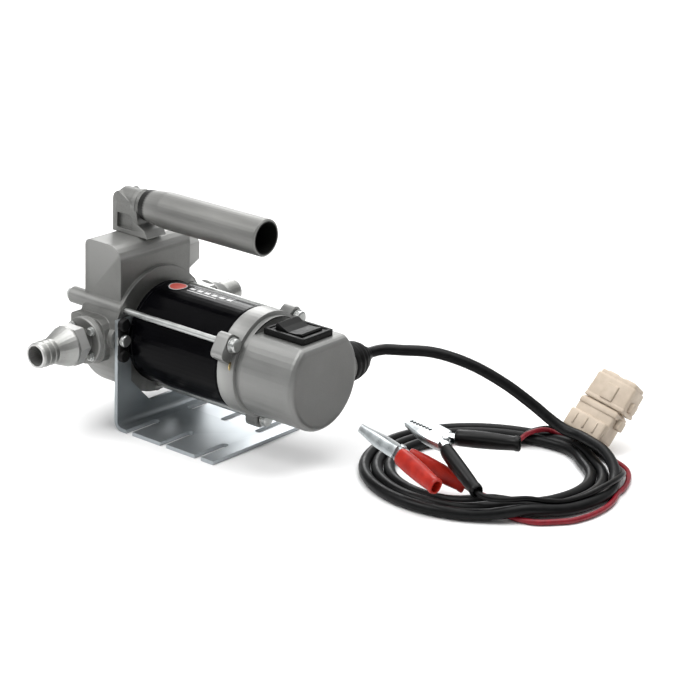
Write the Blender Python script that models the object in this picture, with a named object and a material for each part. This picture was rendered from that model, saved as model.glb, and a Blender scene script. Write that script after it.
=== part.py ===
"""12 V fluid transfer pump with a battery lead: every rigid part and the route of its cables.

Metres, +Z up. The motor's axis runs along +X, the pump head is at -X and the switch cap at +X.
The origin is the middle of the bracket's foot, on the ground.
"""
import math

import bmesh
import bpy
from mathutils import Matrix, Vector

# ---------------------------------------------------------------- driving dimensions
AXIS_Z = 0.070            # height of the shaft above the ground
GAP = 0.0003              # clearance between touching parts

MOTOR_R = 0.040
MOTOR_WALL = 0.0025
MOTOR_X0, MOTOR_X1 = -0.0475, 0.0437

FOOT_HALF = 0.050         # half side of the bracket's square foot
PLATE_T = 0.003
PLATE_X = -0.0523         # outer face of the bracket's upright
PLATE_TOP = 0.089
SLOT_W = 0.0065
SLOT_LENGTH = 0.033
SLOT_XS = (-0.0365, -0.001, 0.0345)

HEAD_X0, HEAD_X1 = -0.094, PLATE_X - GAP
HEAD_R = 0.0505
CHAMBER_R = 0.0265
CHAMBER_OFFSET = 0.004    # the chamber sits this far above the shaft
CHAMBER_X0, CHAMBER_X1 = HEAD_X0, -0.064
PORT_X = -0.075           # the hose ports' axis crosses the shaft here
PORT_BOSS_R = 0.0185
PORT_FACE_Y = 0.057
PORT_BORE_R = 0.0079

BLOCK_X0, BLOCK_X1 = -0.094, -0.056
BLOCK_Y0, BLOCK_Y1 = -0.040, 0.037
BLOCK_Z1 = 0.1432
VALVE_Z = 0.1215
VALVE_X = -0.075
VALVE_BORE_R = 0.0105
VALVE_SEAT_Y = -0.012

ROD_R = 0.0025
ROD_RADIAL = 0.045        # distance of the tie rods from the shaft
ROD_ANGLES = (148.0, 38.0, 270.0)
ROD_HEAD_X = 0.0563
ROD_COLUMN_X0 = -0.109

RING_X0, RING_X1 = 0.044, 0.064
RING_R = 0.041
LUG_X0, LUG_X1 = 0.0445, 0.0555
NECK_R = 0.038
CAP_X0, CAP_X1 = 0.0643, 0.1145
CAP_R = 0.0390
CAP_FLAT = 0.0303         # the switch flat's height above the shaft
CAP_WALL = 0.0045

SWITCH_X = 0.087
SWITCH_LENGTH, SWITCH_WIDTH = 0.039, 0.035
GLAND_X = 0.098

SHAFT_R = 0.005
ROTOR_R = 0.019
VANE_COUNT = 4
VANE_T = 0.003
VANE_TIP_R = 0.0194

TUBE_Z = 0.1670
TUBE_R, TUBE_BORE = 0.0144, 0.0120
TUBE_X0, TUBE_X1 = -0.0660, 0.0535
ARM_R = 0.0105

COIL_CENTRE = (0.2115, 0.0773)
COIL_TURN = math.radians(38.2)                    # direction of the coil's long axis
COIL_INNER, COIL_OUTER = (0.0725, 0.0630), (0.0945, 0.0880)
COIL_Z0, COIL_Z1 = 0.0003, 0.0122
CABLE_D = 0.0088
LEAD_D = 0.0042

STEEL = ((0.62, 0.64, 0.65), 0.35, 1.0)
CAST = ((0.55, 0.55, 0.54), 0.45, 0.9)
BLACK_PAINT = ((0.012, 0.012, 0.013), 0.25, 0.2)
RUBBER = ((0.02, 0.02, 0.02), 0.6, 0.0)
PLASTIC = ((0.015, 0.015, 0.015), 0.4, 0.0)
NYLON = ((0.78, 0.73, 0.62), 0.45, 0.0)
COPPER = ((0.72, 0.36, 0.18), 0.35, 1.0)
FERRITE = ((0.10, 0.10, 0.11), 0.7, 0.0)
CARBON = ((0.05, 0.05, 0.06), 0.6, 0.0)
RED = ((0.62, 0.03, 0.02), 0.45, 0.0)
BRASS = ((0.70, 0.52, 0.24), 0.35, 1.0)

TURN = {
    "X": Matrix.Rotation(math.radians(90), 4, "Y"),
    "Y": Matrix.Rotation(math.radians(-90), 4, "X"),
    "-Y": Matrix.Rotation(math.radians(90), 4, "X"),
    "Z": Matrix.Identity(4),
}


# ---------------------------------------------------------------- helpers
def clear_scene():
    for obj in list(bpy.data.objects):
        bpy.data.objects.remove(obj, do_unlink=True)


def material(name, look):
    colour, roughness, metallic = look
    mat = bpy.data.materials.new(name)
    mat.use_nodes = True
    shader = mat.node_tree.nodes["Principled BSDF"]
    shader.inputs["Base Color"].default_value = (*colour, 1.0)
    shader.inputs["Roughness"].default_value = roughness
    shader.inputs["Metallic"].default_value = metallic
    return mat


def finish_mesh(name, bm, look, location=(0.0, 0.0, 0.0), smooth=True):
    bmesh.ops.remove_doubles(bm, verts=bm.verts, dist=1e-6)
    bmesh.ops.recalc_face_normals(bm, faces=bm.faces)
    mesh = bpy.data.meshes.new(name)
    bm.to_mesh(mesh)
    bm.free()
    if smooth:
        mesh.shade_smooth()
        mesh.set_sharp_from_angle(angle=math.radians(32))
    obj = bpy.data.objects.new(name, mesh)
    obj.location = location
    bpy.context.scene.collection.objects.link(obj)
    if look:
        mesh.materials.append(material(name, look))
    return obj


def turned(name, axis, profile, location, look, segments=48):
    """A closed (radius, along) profile spun about an axis through location."""
    bm = bmesh.new()
    verts = [bm.verts.new((radius, 0.0, along)) for radius, along in profile]
    edges = [bm.edges.new((verts[i - 1], verts[i])) for i in range(1, len(verts))]
    edges.append(bm.edges.new((verts[-1], verts[0])))
    bmesh.ops.spin(bm, geom=verts + edges, cent=(0, 0, 0), axis=(0, 0, 1),
                   angle=math.tau, steps=segments, use_merge=True)
    bmesh.ops.dissolve_degenerate(bm, edges=bm.edges, dist=1e-7)
    bmesh.ops.transform(bm, matrix=TURN[axis], verts=bm.verts)
    return finish_mesh(name, bm, look, location)


def rod_profile(radius, start, end, chamfer=0.0):
    if not chamfer:
        return [(0.0, start), (radius, start), (radius, end), (0.0, end)]
    return [(0.0, start), (radius - chamfer, start), (radius, start + chamfer),
            (radius, end - chamfer), (radius - chamfer, end), (0.0, end)]


def ring_profile(inner, outer, start, end):
    return [(inner, start), (outer, start), (outer, end), (inner, end)]


def extruded(name, outline, plane, start, depth, look, location=(0.0, 0.0, 0.0)):
    """An outline of (u, v) points pushed along the third axis from start by depth.

    plane YZ pushes along +X, XZ along +Y, XY along +Z.
    """
    place = {
        "YZ": lambda u, v, w: (w, u, v),
        "XZ": lambda u, v, w: (u, w, v),
        "XY": lambda u, v, w: (u, v, w),
    }[plane]
    bm = bmesh.new()
    face = bm.faces.new([bm.verts.new(place(u, v, start)) for u, v in outline])
    pushed = bmesh.ops.extrude_face_region(bm, geom=[face])
    moved = [item for item in pushed["geom"] if isinstance(item, bmesh.types.BMVert)]
    bmesh.ops.translate(bm, verts=moved, vec=place(0.0, 0.0, depth))
    return finish_mesh(name, bm, look, location)


def box(name, low, high, look=None):
    outline = [(low[0], low[1]), (high[0], low[1]), (high[0], high[1]), (low[0], high[1])]
    return extruded(name, outline, "XY", low[2], high[2] - low[2], look)


def arc(centre, radius, start, end, steps):
    """Points along an arc, in degrees, both ends included."""
    points = []
    for i in range(steps + 1):
        angle = math.radians(start + (end - start) * i / steps)
        points.append((centre[0] + radius * math.cos(angle), centre[1] + radius * math.sin(angle)))
    return points


def rounded_rectangle(low, high, radii, steps=4):
    """radii: bottom left, bottom right, top right, top left."""
    (x0, y0), (x1, y1) = low, high
    bl, br, tr, tl = radii
    return (arc((x0 + bl, y0 + bl), bl, 180, 270, steps) + arc((x1 - br, y0 + br), br, 270, 360, steps)
            + arc((x1 - tr, y1 - tr), tr, 0, 90, steps) + arc((x0 + tl, y1 - tl), tl, 90, 180, steps))


def bevel_where(obj, width, segments, wanted):
    """Bevels the edges whose two ends both pass the test."""
    bm = bmesh.new()
    bm.from_mesh(obj.data)
    edges = [edge for edge in bm.edges if all(wanted(vert.co) for vert in edge.verts)]
    bmesh.ops.bevel(bm, geom=edges, offset=width, offset_type="OFFSET", segments=segments,
                    profile=0.5, affect="EDGES", clamp_overlap=True)
    bm.to_mesh(obj.data)
    bm.free()
    obj.data.shade_smooth()
    obj.data.set_sharp_from_angle(angle=math.radians(32))


def combine(obj, tool, operation):
    tool.hide_render = True
    tool.display_type = "WIRE"
    modifier = obj.modifiers.new(tool.name, "BOOLEAN")
    modifier.operation = operation
    modifier.solver = "EXACT"
    modifier.object = tool


def cut(obj, tool):
    combine(obj, tool, "DIFFERENCE")


def join(obj, tool):
    combine(obj, tool, "UNION")


def smooth_route(points, diameter):
    """A Catmull-Rom curve through the points, read off every 2.5 diameters, with square ends."""
    pts = [Vector(p) for p in points]
    pts = [2 * pts[0] - pts[1]] + pts + [2 * pts[-1] - pts[-2]]
    fine = []
    for i in range(1, len(pts) - 2):
        p0, p1, p2, p3 = pts[i - 1:i + 3]
        for k in range(24):
            t = k / 24
            fine.append(0.5 * (2 * p1 + (p2 - p0) * t + (2 * p0 - 5 * p1 + 4 * p2 - p3) * t * t
                               + (3 * p1 - p0 - 3 * p2 + p3) * t ** 3))
    fine.append(pts[-2])
    lengths = [0.0]
    for a, b in zip(fine, fine[1:]):
        lengths.append(lengths[-1] + (b - a).length)
    total = lengths[-1]
    straight = 0.35 * diameter
    count = max(1, round((total - 2 * straight) / (2.5 * diameter)))
    targets = [straight + (total - 2 * straight) * n / count for n in range(count + 1)]
    route = [fine[0]]
    for target in targets:
        j = next(k for k, reached in enumerate(lengths) if reached >= target)
        route.append(fine[j - 1].lerp(fine[j], (target - lengths[j - 1]) / (lengths[j] - lengths[j - 1])))
    route.append(fine[-1])
    return route


def cord(name, points, diameter, look, resolution):
    curve = bpy.data.curves.new(name, "CURVE")
    curve.dimensions = "3D"
    curve.bevel_depth = diameter / 2
    curve.bevel_resolution = resolution
    curve.use_fill_caps = True
    route = smooth_route(points, diameter)
    spline = curve.splines.new("POLY")
    spline.points.add(len(route) - 1)
    for point, place in zip(spline.points, route):
        point.co = (*place, 1.0)
    obj = bpy.data.objects.new(name, curve)
    bpy.context.scene.collection.objects.link(obj)
    curve.materials.append(material(name, look))
    return obj


def on_axis(y, z):
    """A place in the YZ plane, given from the shaft."""
    return (y, AXIS_Z + z)


def rod_place(angle):
    return on_axis(ROD_RADIAL * math.cos(math.radians(angle)), ROD_RADIAL * math.sin(math.radians(angle)))


# ---------------------------------------------------------------- mounting bracket
def build_bracket():
    bend = 0.007
    outline = ([(FOOT_HALF, 0.0), (FOOT_HALF, PLATE_T), (PLATE_X + bend, PLATE_T)]
               + arc((PLATE_X + bend, bend), bend - PLATE_T, 270, 180, 5)
               + [(PLATE_X + PLATE_T, PLATE_TOP), (PLATE_X, PLATE_TOP)]
               + arc((PLATE_X + bend, bend), bend, 180, 270, 5))
    bracket = extruded("mounting_bracket", outline, "XZ", -FOOT_HALF, 2 * FOOT_HALF, STEEL)
    fork = [(-0.035, 0.100), (-0.035, 0.037), (-0.0135, 0.0155), (0.0135, 0.0155), (0.035, 0.037),
            (0.035, 0.100)]
    cut(bracket, extruded("cut_fork", fork, "YZ", PLATE_X - 0.02, 0.04, None))
    for side in (-1, 1):
        for number, x in enumerate(SLOT_XS, 1):
            end = side * (FOOT_HALF - SLOT_LENGTH + SLOT_W / 2)
            outer = side * (FOOT_HALF + 0.01)
            outline = ([(x + SLOT_W / 2, outer), (x - SLOT_W / 2, outer)]
                       + arc((x, end), SLOT_W / 2, 180, 180 + side * 180, 6))
            cut(bracket, extruded(f"cut_slot_{side}_{number}", outline, "XY", -0.01, 0.03, None))
    for side in (-1, 1):
        cut(bracket, turned(f"cut_bolt_hole_{side}", "X", rod_profile(0.0028, -0.01, 0.01),
                            (PLATE_X, side * 0.0455, AXIS_Z + 0.003), None, 16))


def build_bracket_bolts():
    for number, side in enumerate((-1, 1), 1):
        head = 0.0048
        profile = [(0, -0.062), (0.0025, -0.062), (0.0025, -0.0490), (0.0058, -0.0490), (0.0058, -0.0479),
                   (head, -0.0479), (head, -0.0445), (head - 0.0006, -0.0438), (0, -0.0438)]
        turned(f"bracket_bolt_{number}", "X", profile, (0, side * 0.0455, AXIS_Z + 0.003), STEEL, 18)


# ---------------------------------------------------------------- pump head
def build_housing():
    housing = turned("pump_housing", "X", [
        (0, HEAD_X0), (HEAD_R - 0.005, HEAD_X0), (HEAD_R - 0.0015, HEAD_X0 + 0.0015), (HEAD_R, HEAD_X0 + 0.005),
        (HEAD_R, HEAD_X1), (0, HEAD_X1)], (0, 0, AXIS_Z), CAST, 64)
    for number, angle in enumerate(ROD_ANGLES, 1):
        y, z = rod_place(angle)
        start = ROD_COLUMN_X0 if number < 3 else HEAD_X0 - 0.002
        column = rod_profile(0.0066, start, HEAD_X1 - 0.0001, 0.001)
        join(housing, turned(f"join_column_{number}", "X", column, (0, y, z), None, 24))
    block = rounded_rectangle((BLOCK_X0, 0.085), (BLOCK_X1, BLOCK_Z1), (0.002, 0.002, 0.012, 0.005), 5)
    join(housing, extruded("join_block", block, "XZ", BLOCK_Y0, BLOCK_Y1 - BLOCK_Y0, None))
    for side, axis in ((-1, "-Y"), (1, "Y")):
        boss = turned(f"join_port_{side}", axis, rod_profile(PORT_BOSS_R, 0.028, PORT_FACE_Y, 0.0008),
                      (PORT_X, 0, AXIS_Z), None, 40)
        join(housing, boss)
        low, high = sorted((side * 0.028, side * (PORT_FACE_Y - 0.0008)))
        pad = rounded_rectangle((PORT_X - 0.0182, AXIS_Z - 0.0182), (PORT_X + 0.0182, AXIS_Z + 0.0182),
                                (0.010, 0.012, 0.012, 0.003), 4)
        join(housing, extruded(f"join_port_pad_{side}", pad, "XZ", low, high - low, None))
    for side in (-1, 1):
        lug = turned(f"join_lug_{side}", "X", rod_profile(0.0085, -0.068, HEAD_X1 - 0.0001),
                     (0, side * 0.0455, AXIS_Z + 0.003), None, 20)
        join(housing, lug)
    pilot = turned("join_pilot", "X", rod_profile(0.0344, -0.056, MOTOR_X0 - 0.0003), (0, 0, AXIS_Z), None, 48)
    join(housing, pilot)

    cut(housing, turned("cut_chamber", "X", rod_profile(CHAMBER_R, CHAMBER_X0 - 0.01, CHAMBER_X1),
                        (0, 0, AXIS_Z + CHAMBER_OFFSET), None, 48))
    cut(housing, turned("cut_shaft", "X", rod_profile(SHAFT_R + 0.0006, -0.07, -0.04), (0, 0, AXIS_Z), None, 24))
    cut(housing, turned("cut_bearing", "X", rod_profile(0.0113, -0.0605, -0.04), (0, 0, AXIS_Z), None, 28))
    for side, axis in ((-1, "-Y"), (1, "Y")):
        cut(housing, turned(f"cut_port_{side}", axis, rod_profile(PORT_BORE_R, 0.015, 0.08),
                            (PORT_X, 0, AXIS_Z), None, 24))
        cut(housing, turned(f"cut_lug_{side}", "X", rod_profile(0.0028, -0.063, -0.04),
                            (0, side * 0.0455, AXIS_Z + 0.003), None, 16))
    for number, angle in enumerate(ROD_ANGLES, 1):
        y, z = rod_place(angle)
        cut(housing, turned(f"cut_rod_{number}", "X", rod_profile(ROD_R + 0.0004, -0.13, -0.04),
                            (0, y, z), None, 16))
    cut(housing, turned("cut_valve", "Y", rod_profile(VALVE_BORE_R, VALVE_SEAT_Y, 0.06),
                        (VALVE_X, 0, VALVE_Z), None, 28))
    cut(housing, turned("cut_valve_seat", "Y", rod_profile(0.006, VALVE_SEAT_Y - 0.010, VALVE_SEAT_Y + 0.001),
                        (VALVE_X, 0, VALVE_Z), None, 20))
    cut(housing, turned("cut_passage", "Z", rod_profile(0.004, 0.090, VALVE_Z),
                        (VALVE_X, VALVE_SEAT_Y - 0.005, 0), None, 16))


def build_rear_cover():
    cover = [(0, -0.1025), (0.0345, -0.1025), (0.0372, -0.1012), (0.0372, HEAD_X0 - GAP), (0, HEAD_X0 - GAP)]
    turned("rear_cover", "X", cover, (0, 0, AXIS_Z), CAST, 48)


def build_port_fitting(word, axis, side):
    place = (PORT_X, 0, AXIS_Z)
    flange = [(PORT_BORE_R, 0.0573), (PORT_BOSS_R, 0.0573), (PORT_BOSS_R, 0.0615), (PORT_BOSS_R - 0.0008, 0.0623),
              (0.0104, 0.0623), (0.0104, 0.0690), (PORT_BORE_R, 0.0690)]
    turned(f"{word}_flange", axis, flange, place, CAST, 40)

    hexagon = [(0.0166 * math.cos(math.radians(60 * k)), 0.0166 * math.sin(math.radians(60 * k))) for k in range(6)]
    start = 0.0693 if side > 0 else -0.0785
    nut = extruded(f"{word}_union_nut", hexagon, "XZ", start, 0.0092, CAST, place)
    cut(nut, turned(f"cut_{word}_nut", axis, rod_profile(0.0110, 0.060, 0.090), place, None, 24))

    tail = [(PORT_BORE_R, 0.0694), (0.0106, 0.0694), (0.0106, 0.0790), (0.0158, 0.0790), (0.0158, 0.0810),
            (0.0102, 0.0945), (0.0098, 0.0950), (0.0102, 0.0985), (0.0098, 0.0990), (0.0102, 0.1040),
            (0.0098, 0.1045), (0.0101, 0.1090), (0.0094, 0.1110), (PORT_BORE_R, 0.1110)]
    turned(f"{word}_hose_tail", axis, tail, place, CAST, 32)


def build_valve():
    cap = [(0, 0.026), (VALVE_BORE_R - 0.0004, 0.026), (VALVE_BORE_R - 0.0004, BLOCK_Y1 + GAP),
           (0.0182, BLOCK_Y1 + GAP), (0.0182, 0.0500), (0.0166, 0.0520), (0, 0.0520)]
    valve_cap = turned("valve_cap", "Y", cap, (VALVE_X, 0, VALVE_Z), CAST, 8)
    valve_cap.rotation_euler = (0, math.radians(22.5), 0)
    poppet = [(0, 0), (0.0085, 0), (0.0085, 0.0035), (0.0100, 0.0045), (0.0100, 0.0090), (0.0045, 0.0090),
              (0.0045, 0.0130), (0, 0.0130)]
    turned("valve_poppet", "Y", poppet, (VALVE_X, VALVE_SEAT_Y + GAP, VALVE_Z), BRASS, 24)
    spring = ring_profile(0.0058, 0.0082, 0.0, 0.0282)
    turned("valve_spring", "Y", spring, (VALVE_X, VALVE_SEAT_Y + 0.0096, VALVE_Z), STEEL, 20)


def build_rotor():
    rotor = turned("pump_rotor", "X", ring_profile(SHAFT_R + GAP, ROTOR_R, CHAMBER_X0 + 0.0006, CHAMBER_X1 - 0.0006),
                   (0, 0, AXIS_Z), STEEL, 40)
    for number in range(VANE_COUNT):
        slot = box(f"cut_vane_slot_{number}", (-0.2, -VANE_T / 2 - 0.0003, 0.0090), (0.1, VANE_T / 2 + 0.0003, 0.03))
        slot.location = (0, 0, AXIS_Z)
        slot.rotation_euler = (math.tau * number / VANE_COUNT, 0, 0)
        cut(rotor, slot)
    for number in range(VANE_COUNT):
        vane = box(f"vane_{number + 1}", (CHAMBER_X0 + 0.0008, -VANE_T / 2, 0.0096),
                   (CHAMBER_X1 - 0.0008, VANE_T / 2, VANE_TIP_R), CARBON)
        vane.location = (0, 0, AXIS_Z)
        vane.rotation_euler = (math.tau * number / VANE_COUNT, 0, 0)


# ---------------------------------------------------------------- handle
def build_handle():
    arm = turned("handle_arm", "X", [
        (0, -0.0940), (ARM_R - 0.0055, -0.0940), (ARM_R - 0.0020, -0.0924), (ARM_R, -0.0895), (ARM_R, -0.0750),
        (ARM_R + 0.0008, -0.0745), (ARM_R + 0.0008, -0.0705), (ARM_R, -0.0700), (ARM_R, -0.0250),
        (ARM_R - 0.002, -0.0230), (0, -0.0230)],
        (0, 0, TUBE_Z), CAST, 32)
    post = ([(-0.0937, BLOCK_Z1 + GAP), (-0.0570, BLOCK_Z1 + GAP), (-0.0600, 0.1490), (-0.0672, 0.1525),
             (-0.0690, 0.1655), (-0.0850, 0.1740)] + arc((-0.0867, 0.1690), 0.0070, 100, 180, 5))
    join(arm, extruded("join_post", post, "XZ", -0.0104, 0.0208, None))
    recess = rounded_rectangle((-0.0890, 0.1470), (-0.0725, 0.1590), (0.001, 0.001, 0.004, 0.001), 3)
    cut(arm, extruded("cut_recess_near", recess, "XZ", -0.020, 0.0125, None))
    cut(arm, extruded("cut_recess_far", recess, "XZ", 0.0075, 0.0125, None))
    tube = [(ARM_R + 0.0004, TUBE_X0), (ARM_R + 0.0016, TUBE_X0), (TUBE_R, TUBE_X0 + 0.0210),
            (TUBE_R, TUBE_X1 - 0.0008), (TUBE_R - 0.0008, TUBE_X1), (TUBE_BORE, TUBE_X1),
            (TUBE_BORE, -0.0200), (ARM_R + 0.0004, -0.0200)]
    turned("handle_tube", "X", tube, (0, 0, TUBE_Z), CAST, 40)


# ---------------------------------------------------------------- motor
def build_motor_static():
    can = turned("motor_can", "X", ring_profile(MOTOR_R - MOTOR_WALL, MOTOR_R, MOTOR_X0, MOTOR_X1),
                 (0, 0, AXIS_Z), BLACK_PAINT, 64)
    for number, side in enumerate((1, -1), 1):
        low, high = (35, 145) if side > 0 else (215, 325)
        outline = arc((0, AXIS_Z), 0.0372, low, high, 14) + arc((0, AXIS_Z), 0.0285, high, low, 14)
        extruded(f"magnet_{number}", outline, "YZ", -0.038, 0.062, FERRITE)
    turned("shaft_seal", "X", ring_profile(SHAFT_R + GAP, 0.0110, -0.0602, -0.0563), (0, 0, AXIS_Z), RUBBER, 28)
    turned("front_bearing", "X", ring_profile(SHAFT_R + GAP, 0.0110, -0.0560, -0.0480), (0, 0, AXIS_Z), STEEL, 28)
    turned("rear_bearing", "X", ring_profile(SHAFT_R + GAP, 0.0092, 0.0560, 0.0630), (0, 0, AXIS_Z), STEEL, 28)
    holder = turned("brush_holder", "X", ring_profile(0.0100, 0.0355, 0.0475, 0.0500), (0, 0, AXIS_Z), PLASTIC, 40)
    for side in (-1, 1):
        low, high = sorted((side * 0.0180, side * 0.0340))
        join(holder, box(f"join_brush_box_{side}", (0.0330, low, AXIS_Z - 0.0065), (0.0485, high, AXIS_Z + 0.0065)))
        low, high = sorted((side * 0.0100, side * 0.0400))
        cut(holder, box(f"cut_brush_box_{side}", (0.0350, low, AXIS_Z - 0.0045), (0.0445, high, AXIS_Z + 0.0045)))
    for number, side in enumerate((-1, 1), 1):
        low, high = sorted((side * 0.0128, side * 0.0280))
        box(f"brush_{number}", (0.0353, low, AXIS_Z - 0.0042), (0.0442, high, AXIS_Z + 0.0042), CARBON)


def build_motor_turning():
    place = (0, 0, AXIS_Z)
    turned("motor_shaft", "X", rod_profile(SHAFT_R, -0.0925, 0.0620, 0.0006), place, STEEL, 28)
    turned("armature_core", "X", ring_profile(0.0144, 0.0270, -0.0330, 0.0180), place, STEEL, 48)
    spool = [(SHAFT_R + GAP, -0.0400), (0.0180, -0.0400), (0.0225, -0.0370), (0.0225, -0.0333), (0.0141, -0.0333),
             (0.0141, 0.0183), (0.0225, 0.0183), (0.0225, 0.0215), (0.0180, 0.0245), (SHAFT_R + GAP, 0.0245)]
    turned("armature_winding", "X", spool, place, COPPER, 36)
    turned("commutator", "X", ring_profile(SHAFT_R + GAP, 0.0124, 0.0320, 0.0465), place, COPPER, 36)


def build_end_ring():
    inner = 0.0360
    profile = [(inner, RING_X0), (RING_R, RING_X0), (RING_R, 0.0596), (NECK_R, 0.0604), (NECK_R, RING_X1),
               (0.0100 - 0.0003, RING_X1), (0.0097, 0.0555), (inner, 0.0555)]
    ring = turned("end_ring", "X", profile, (0, 0, AXIS_Z), CAST, 64)
    for number, angle in enumerate(ROD_ANGLES, 1):
        y, z = rod_place(angle)
        turn = math.radians(angle)
        tall, short = (0.0135, 0.0075) if number == 1 else (0.0080, 0.0080)
        outline = rounded_rectangle((-0.0120, -short), (0.0065, tall), (0.001, 0.0050, 0.0050, 0.001), 4)
        lug = extruded(f"join_ring_lug_{number}", outline, "YZ", LUG_X0, LUG_X1 - LUG_X0, None, (0, y, z))
        lug.rotation_euler = (turn, 0, 0)
        join(ring, lug)
        cut(ring, turned(f"cut_ring_rod_{number}", "X", rod_profile(ROD_R + 0.0004, 0.03, 0.08), (0, y, z), None, 16))
        cut(ring, turned(f"cut_ring_head_{number}", "X", rod_profile(0.0066, 0.0560, 0.08), (0, y, z), None, 20))
    cut(ring, turned("cut_ring_bore", "X", rod_profile(inner, 0.030, 0.0555), (0, 0, AXIS_Z), None, 64))
    cut(ring, turned("cut_can_seat", "X", rod_profile(MOTOR_R + 0.0003, 0.030, RING_X0 - 0.0001), (0, 0, AXIS_Z),
                     None, 64))


def chord_outline(radius, flat):
    """A circle with a flat across its top, seen along the shaft."""
    top = math.degrees(math.asin(flat / radius))
    return arc(on_axis(0, 0), radius, 180 - top, 360 + top, 46)


def build_end_cap():
    cap = extruded("end_cap", chord_outline(CAP_R, CAP_FLAT), "YZ", CAP_X0, CAP_X1 - CAP_X0, CAST)
    bevel_where(cap, 0.0052, 4, lambda co: co.x > CAP_X1 - 1e-5)
    pad = turned("join_gland_pad", "Y", rod_profile(0.0150, 0.025, 0.0395), (GLAND_X, 0, AXIS_Z), None, 32)
    join(cap, pad)
    cavity = chord_outline(CAP_R - CAP_WALL, CAP_FLAT - 0.0035)
    cut(cap, extruded("cut_cap_cavity", cavity, "YZ", CAP_X0 - 0.01, CAP_X1 - CAP_X0 + 0.006, None))
    half_l, half_w = SWITCH_LENGTH / 2 - 0.0035, SWITCH_WIDTH / 2 - 0.0035
    cut(cap, box("cut_switch_hole", (SWITCH_X - half_l, -half_w, AXIS_Z + 0.02), (SWITCH_X + half_l, half_w, 0.2)))
    cut(cap, turned("cut_gland_hole", "Y", rod_profile(0.0074, 0.02, 0.06), (GLAND_X, 0, AXIS_Z), None, 24))


def build_rods():
    for number, angle in enumerate(ROD_ANGLES, 1):
        y, z = rod_place(angle)
        start = -0.1060 if number < 3 else -0.0925
        head = [(0, start), (ROD_R, start), (ROD_R, ROD_HEAD_X), (0.0060, ROD_HEAD_X), (0.0060, 0.0572),
                (0.0052, 0.0574), (0.0052, 0.0606), (0.0040, 0.0614), (0, 0.0614)]
        turned(f"tie_rod_{number}", "X", head, (0, y, z), STEEL, 18)


# ---------------------------------------------------------------- switch and gland
def build_switch():
    top = AXIS_Z + CAP_FLAT
    half_l, half_w = SWITCH_LENGTH / 2, SWITCH_WIDTH / 2
    outline = rounded_rectangle((-half_l, -half_w), (half_l, half_w), (0.002,) * 4, 3)
    body = extruded("switch_body", outline, "XY", top + GAP, 0.0036, PLASTIC, (SWITCH_X, 0, 0))
    join(body, box("join_switch_tub", (SWITCH_X - half_l + 0.004, -half_w + 0.004, top - 0.0150),
                   (SWITCH_X + half_l - 0.004, half_w - 0.004, top + 0.001)))
    cut(body, box("cut_switch_well", (SWITCH_X - half_l + 0.0056, -half_w + 0.0056, top - 0.0125),
                  (SWITCH_X + half_l - 0.0056, half_w - 0.0056, top + 0.02)))

    tilt = math.radians(-8)
    profile = [(-0.0125, -0.0006), (-0.0040, -0.0050), (0.0040, -0.0050), (0.0125, -0.0006), (0.0127, 0.0060),
               (0.0115, 0.0070), (0.0060, 0.0052), (0.0, 0.0040), (-0.0060, 0.0052), (-0.0115, 0.0070),
               (-0.0127, 0.0060)]
    rocker = extruded("switch_rocker", profile, "XZ", -half_w + 0.0060, 2 * (half_w - 0.0060), PLASTIC,
                      (SWITCH_X, 0, top + 0.0006))
    rocker.rotation_euler = (0, -tilt, 0)


def build_gland():
    dome = [(0, 0.0250), (0.0070, 0.0250), (0.0070, 0.0398), (0.0150, 0.0398), (0.0155, 0.0440), (0.0153, 0.0500),
            (0.0142, 0.0560), (0.0118, 0.0610), (0.0085, 0.0645), (0.0062, 0.0658), (0.0062, 0.0680), (0, 0.0680)]
    turned("cable_gland", "Y", dome, (GLAND_X, 0, AXIS_Z), RUBBER, 32)


# ---------------------------------------------------------------- cable, coil and connector
def connector_matrix():
    width = Vector((0.98, -0.05, -0.17)).normalized()
    length = Vector((0.21, 0.57, 0.79))
    length = (length - width * length.dot(width)).normalized()
    depth = width.cross(length)
    frame = Matrix((width, length, depth)).transposed().to_4x4()
    frame.translation = Vector((0.2374, 0.1740, 0.0122))
    return frame


def build_connector():
    frame = connector_matrix()
    socket = box("connector_socket", (-0.0165, 0.0, -0.0090), (0.0165, 0.0250, 0.0090), NYLON)
    plug = box("connector_plug", (-0.0180, 0.0253, -0.0100), (0.0180, 0.0500, 0.0100), NYLON)
    for side in (-1, 1):
        low, high = sorted((side * 0.0150, side * 0.0205))
        join(socket, box(f"join_socket_tab_{side}", (low, 0.0130, -0.0040), (high, 0.0215, 0.0040)))
        low, high = sorted((side * 0.0160, side * 0.0215))
        join(plug, box(f"join_plug_tab_{side}", (low, 0.0290, -0.0040), (high, 0.0370, 0.0040)))
    for obj in bpy.data.objects:
        if obj.name.startswith(("connector_", "join_socket", "join_plug")):
            obj.matrix_world = frame


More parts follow.
